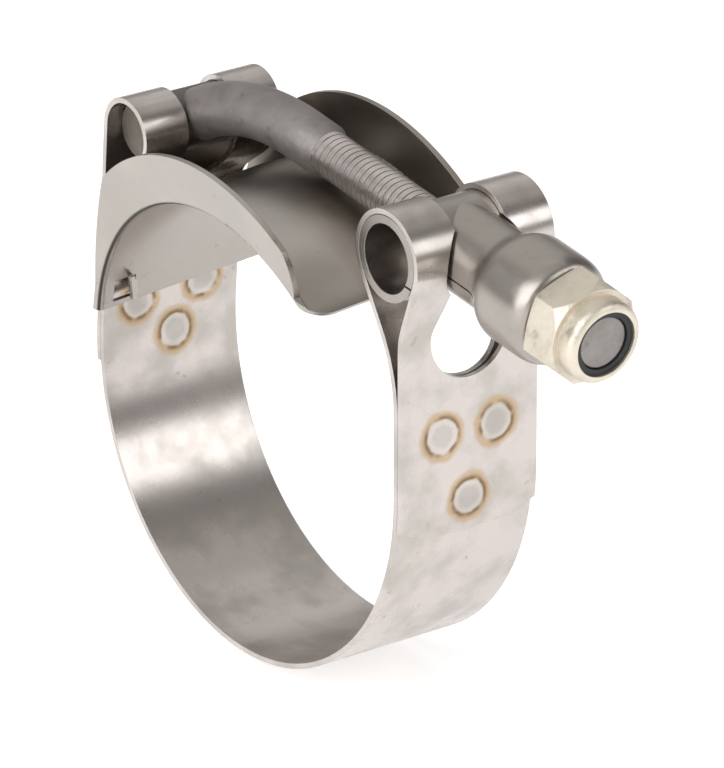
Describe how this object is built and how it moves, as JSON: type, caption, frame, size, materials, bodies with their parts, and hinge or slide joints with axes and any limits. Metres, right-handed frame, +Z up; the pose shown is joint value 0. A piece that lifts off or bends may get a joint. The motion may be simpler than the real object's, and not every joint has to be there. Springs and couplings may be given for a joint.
{
  "type": "t-bolt hose clamp",
  "caption": "T-bolt hose clamp: a steel band folded into loops at both ends, a floating bridge across the gap, and a curved T-bolt with a trunnion and lock nut that pull it tight.",
  "frame": {"origin": "centre of the band's bore, half way across the band's width", "axes": "+Y along the bore from the front edge to the back edge, +Z up through the gap between the loops, +X from the T-head towards the nut"},
  "size_m": [0.085, 0.0283, 0.0653],
  "materials": {
    "band_steel": "satin",
    "bolt_steel": "satin",
    "zinc": "bright zinc",
    "nylon": "matt"
  },
  "bodies": {
    "clamp_band": {"band": "band_steel", "bridge": "band_steel"},
    "bolt": {"t_bolt": "bolt_steel"},
    "swivel": {"trunnion": "bolt_steel"},
    "nut_carrier": {"nylon_insert": "nylon"},
    "nut": {"lock_nut": "zinc"}
  },
  "joints": [
    {"name": "t_bolt_pivot", "type": "hinge", "parent": "clamp_band", "child": "bolt", "pos_m": [-0.02352, 0, 0.028], "axis": [0, 1, 0], "range_deg": [-0.4, 0.3]},
    {"name": "trunnion_pivot", "type": "hinge", "parent": "clamp_band", "child": "swivel", "pos_m": [0.0272, 0, 0.02885], "axis": [0, 1, 0], "range_deg": [-0.5, 0.5]},
    {"name": "nut_travel", "type": "slide", "parent": "bolt", "child": "nut_carrier", "axis": [0.9919, 0, -0.1271], "range_m": [0, 0.005]},
    {"name": "nut_turn", "type": "hinge", "parent": "nut_carrier", "child": "nut", "pos_m": [0.04743, 0, 0.02626], "axis": [0.9919, 0, -0.1271], "range_deg": [0, 1986]}
  ],
  "couplings": [
    {"joint": "nut_turn", "follows": "nut_travel", "rad_per_m": 6927.4}
  ]
}
